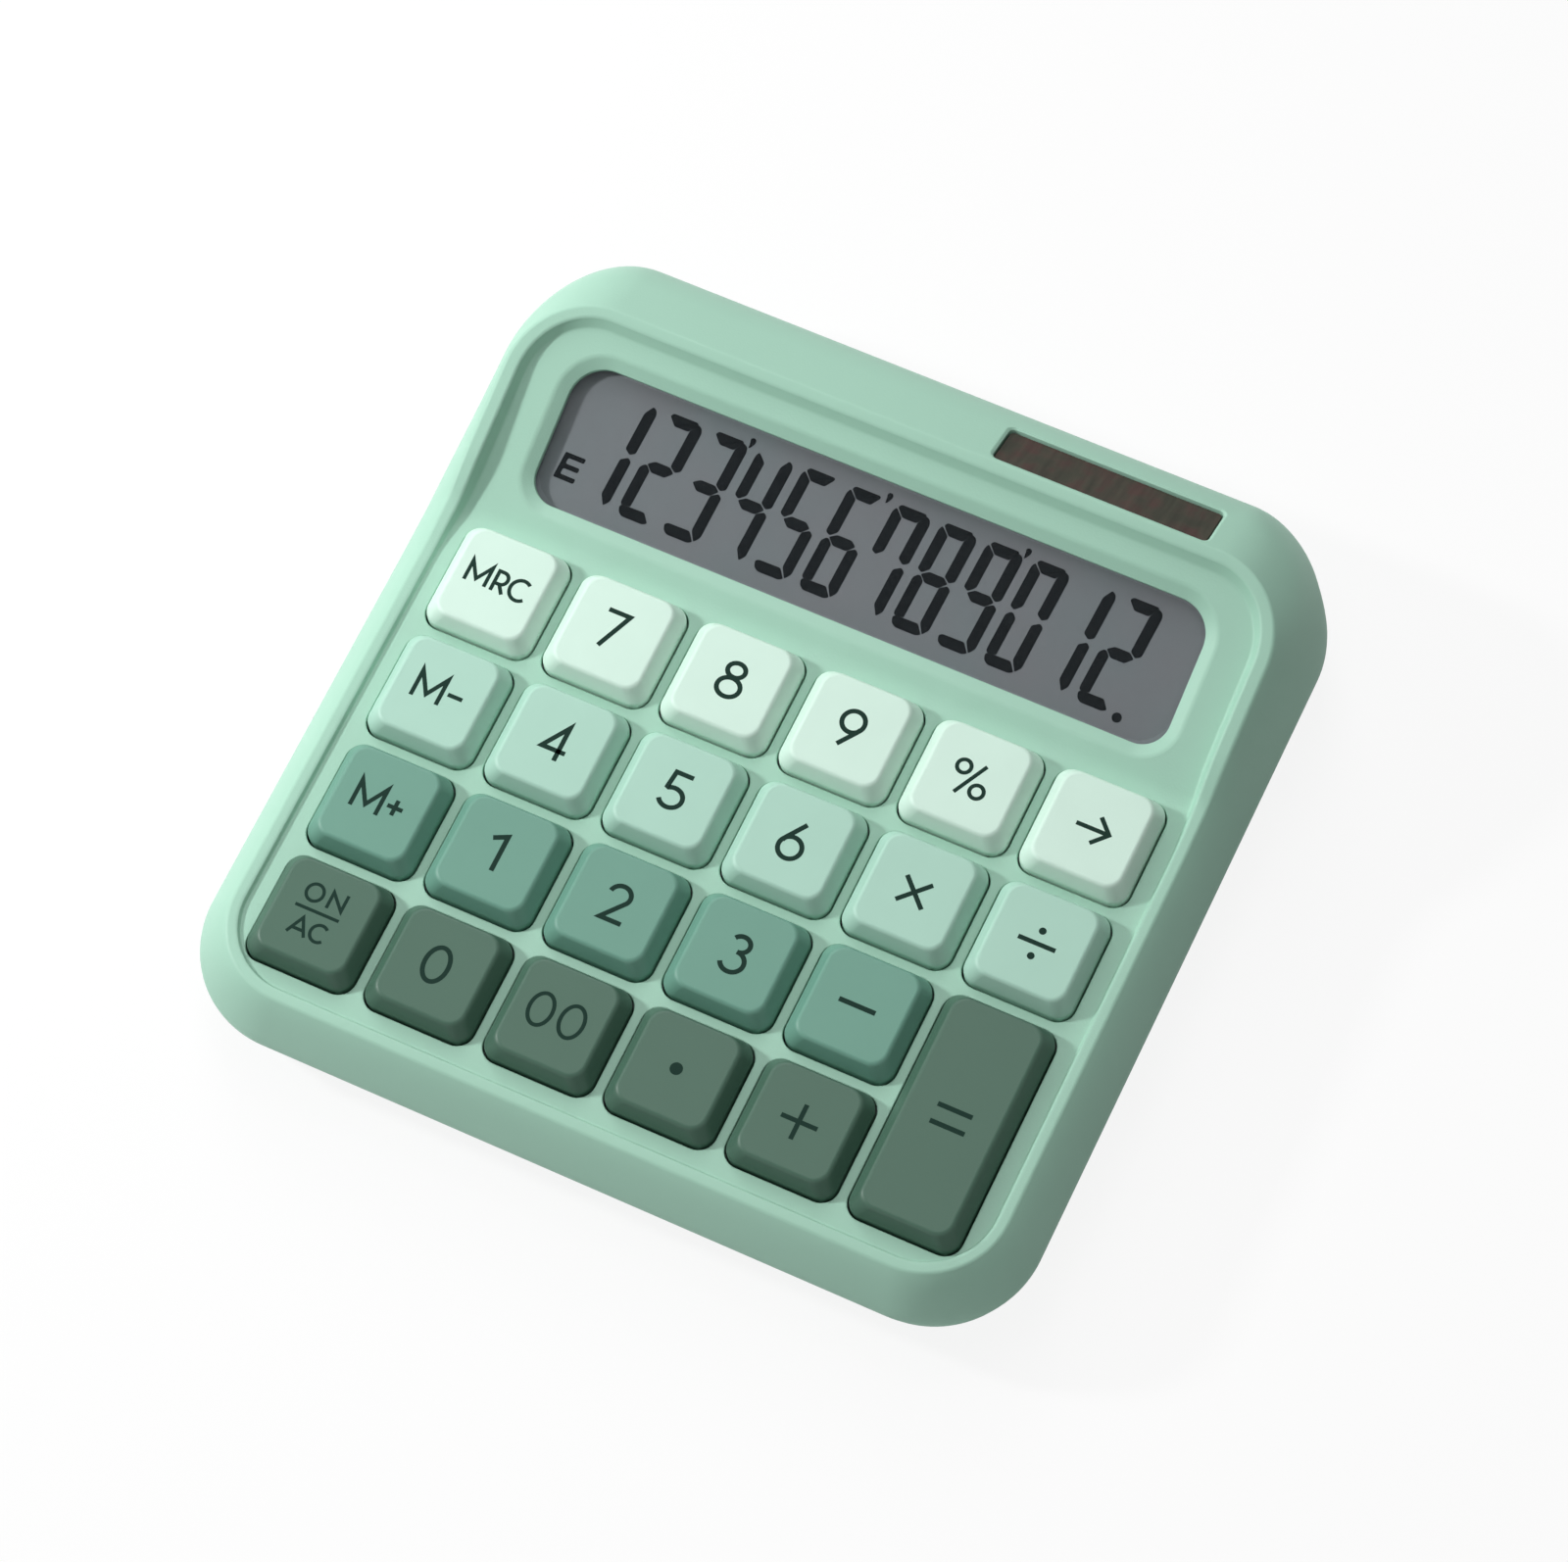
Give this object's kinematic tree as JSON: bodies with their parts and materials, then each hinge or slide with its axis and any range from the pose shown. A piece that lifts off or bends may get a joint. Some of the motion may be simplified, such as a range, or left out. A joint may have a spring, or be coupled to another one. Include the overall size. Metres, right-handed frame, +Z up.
{
  "type": "desk calculator",
  "caption": "Low desk calculator with a raised rim, sprung square keycaps on switches, a tilted liquid crystal display and a solar cell in its back band.",
  "frame": {"origin": "centre of the footprint on the surface the feet stand on", "axes": "+Z up, +Y towards the back where the display is, +X to the user's right"},
  "size_m": [0.1386, 0.1386, 0.0314],
  "materials": {
    "case": "satin moulded ABS, pale mint",
    "back_row_keys": "satin moulded ABS, lightest mint",
    "third_row_keys": "satin moulded ABS, light mint",
    "second_row_keys": "satin moulded ABS, teal green",
    "front_row_keys": "satin moulded ABS, dark sage green",
    "lens": "clear polished acrylic",
    "lcd": "grey polarised liquid crystal cell",
    "solar": "dark brown amorphous silicon behind clear film",
    "plate": "stamped steel",
    "board": "green solder mask on fibreglass",
    "guide": "natural acetal",
    "cell": "nickel-plated steel",
    "feet": "soft grey rubber",
    "switches": "dark moulded nylon"
  },
  "bodies": {
    "case": {"top_case": "case", "bottom_case": "case", "display_lens": "lens", "lcd_panel": "lcd", "solar_cell": "solar", "key_plate": "plate", "main_board": "board", "equals_stabiliser": "guide", "coin_cell": "cell", "foot_front_left": "feet", "foot_front_right": "feet", "foot_back_left": "feet", "foot_back_right": "feet", "switch_memory_recall": "switches", "switch_7": "switches", "switch_8": "switches", "switch_9": "switches", "switch_percent": "switches", "switch_delete": "switches", "switch_memory_minus": "switches", "switch_4": "switches", "switch_5": "switches", "switch_6": "switches", "switch_multiply": "switches", "switch_divide": "switches", "switch_memory_plus": "switches", "switch_1": "switches", "switch_2": "switches", "switch_3": "switches", "switch_minus": "switches", "switch_equals": "switches", "switch_on_clear": "switches", "switch_0": "switches", "switch_double_zero": "switches", "switch_point": "switches", "switch_plus": "switches"},
    "battery_cover": {"battery_cover": "case"},
    "key_memory_recall": {"key_memory_recall": "back_row_keys"},
    "key_7": {"key_7": "back_row_keys"},
    "key_8": {"key_8": "back_row_keys"},
    "key_9": {"key_9": "back_row_keys"},
    "key_percent": {"key_percent": "back_row_keys"},
    "key_delete": {"key_delete": "back_row_keys"},
    "key_memory_minus": {"key_memory_minus": "third_row_keys"},
    "key_4": {"key_4": "third_row_keys"},
    "key_5": {"key_5": "third_row_keys"},
    "key_6": {"key_6": "third_row_keys"},
    "key_multiply": {"key_multiply": "third_row_keys"},
    "key_divide": {"key_divide": "third_row_keys"},
    "key_memory_plus": {"key_memory_plus": "second_row_keys"},
    "key_1": {"key_1": "second_row_keys"},
    "key_2": {"key_2": "second_row_keys"},
    "key_3": {"key_3": "second_row_keys"},
    "key_minus": {"key_minus": "second_row_keys"},
    "key_equals": {"key_equals": "front_row_keys"},
    "key_on_clear": {"key_on_clear": "front_row_keys"},
    "key_0": {"key_0": "front_row_keys"},
    "key_double_zero": {"key_double_zero": "front_row_keys"},
    "key_point": {"key_point": "front_row_keys"},
    "key_plus": {"key_plus": "front_row_keys"}
  },
  "joints": [
    {"name": "memory_recall_press", "type": "slide", "parent": "case", "child": "key_memory_recall", "axis": [0, 0, -1], "range_m": [0, 0.003], "stiffness_N_per_m": 120, "springref_m": -0.0004},
    {"name": "digit_7_press", "type": "slide", "parent": "case", "child": "key_7", "axis": [0, 0, -1], "range_m": [0, 0.003], "stiffness_N_per_m": 120, "springref_m": -0.0004},
    {"name": "digit_8_press", "type": "slide", "parent": "case", "child": "key_8", "axis": [0, 0, -1], "range_m": [0, 0.003], "stiffness_N_per_m": 120, "springref_m": -0.0004},
    {"name": "digit_9_press", "type": "slide", "parent": "case", "child": "key_9", "axis": [0, 0, -1], "range_m": [0, 0.003], "stiffness_N_per_m": 120, "springref_m": -0.0004},
    {"name": "percent_press", "type": "slide", "parent": "case", "child": "key_percent", "axis": [0, 0, -1], "range_m": [0, 0.003], "stiffness_N_per_m": 120, "springref_m": -0.0004},
    {"name": "delete_press", "type": "slide", "parent": "case", "child": "key_delete", "axis": [0, 0, -1], "range_m": [0, 0.003], "stiffness_N_per_m": 120, "springref_m": -0.0004},
    {"name": "memory_minus_press", "type": "slide", "parent": "case", "child": "key_memory_minus", "axis": [0, 0, -1], "range_m": [0, 0.003], "stiffness_N_per_m": 120, "springref_m": -0.0004},
    {"name": "digit_4_press", "type": "slide", "parent": "case", "child": "key_4", "axis": [0, 0, -1], "range_m": [0, 0.003], "stiffness_N_per_m": 120, "springref_m": -0.0004},
    {"name": "digit_5_press", "type": "slide", "parent": "case", "child": "key_5", "axis": [0, 0, -1], "range_m": [0, 0.003], "stiffness_N_per_m": 120, "springref_m": -0.0004},
    {"name": "digit_6_press", "type": "slide", "parent": "case", "child": "key_6", "axis": [0, 0, -1], "range_m": [0, 0.003], "stiffness_N_per_m": 120, "springref_m": -0.0004},
    {"name": "multiply_press", "type": "slide", "parent": "case", "child": "key_multiply", "axis": [0, 0, -1], "range_m": [0, 0.003], "stiffness_N_per_m": 120, "springref_m": -0.0004},
    {"name": "divide_press", "type": "slide", "parent": "case", "child": "key_divide", "axis": [0, 0, -1], "range_m": [0, 0.003], "stiffness_N_per_m": 120, "springref_m": -0.0004},
    {"name": "memory_plus_press", "type": "slide", "parent": "case", "child": "key_memory_plus", "axis": [0, 0, -1], "range_m": [0, 0.003], "stiffness_N_per_m": 120, "springref_m": -0.0004},
    {"name": "digit_1_press", "type": "slide", "parent": "case", "child": "key_1", "axis": [0, 0, -1], "range_m": [0, 0.003], "stiffness_N_per_m": 120, "springref_m": -0.0004},
    {"name": "digit_2_press", "type": "slide", "parent": "case", "child": "key_2", "axis": [0, 0, -1], "range_m": [0, 0.003], "stiffness_N_per_m": 120, "springref_m": -0.0004},
    {"name": "digit_3_press", "type": "slide", "parent": "case", "child": "key_3", "axis": [0, 0, -1], "range_m": [0, 0.003], "stiffness_N_per_m": 120, "springref_m": -0.0004},
    {"name": "minus_press", "type": "slide", "parent": "case", "child": "key_minus", "axis": [0, 0, -1], "range_m": [0, 0.003], "stiffness_N_per_m": 120, "springref_m": -0.0004},
    {"name": "equals_press", "type": "slide", "parent": "case", "child": "key_equals", "axis": [0, 0, -1], "range_m": [0, 0.003], "stiffness_N_per_m": 120, "springref_m": -0.0004},
    {"name": "on_clear_press", "type": "slide", "parent": "case", "child": "key_on_clear", "axis": [0, 0, -1], "range_m": [0, 0.003], "stiffness_N_per_m": 120, "springref_m": -0.0004},
    {"name": "digit_0_press", "type": "slide", "parent": "case", "child": "key_0", "axis": [0, 0, -1], "range_m": [0, 0.003], "stiffness_N_per_m": 120, "springref_m": -0.0004},
    {"name": "double_zero_press", "type": "slide", "parent": "case", "child": "key_double_zero", "axis": [0, 0, -1], "range_m": [0, 0.003], "stiffness_N_per_m": 120, "springref_m": -0.0004},
    {"name": "point_press", "type": "slide", "parent": "case", "child": "key_point", "axis": [0, 0, -1], "range_m": [0, 0.003], "stiffness_N_per_m": 120, "springref_m": -0.0004},
    {"name": "plus_press", "type": "slide", "parent": "case", "child": "key_plus", "axis": [0, 0, -1], "range_m": [0, 0.003], "stiffness_N_per_m": 120, "springref_m": -0.0004},
    {"name": "battery_cover_turn", "type": "hinge", "parent": "case", "child": "battery_cover", "pos_m": [-0.022, 0.04, 0.001], "axis": [0, 0, 1], "range_deg": [0, 60]}
  ]
}
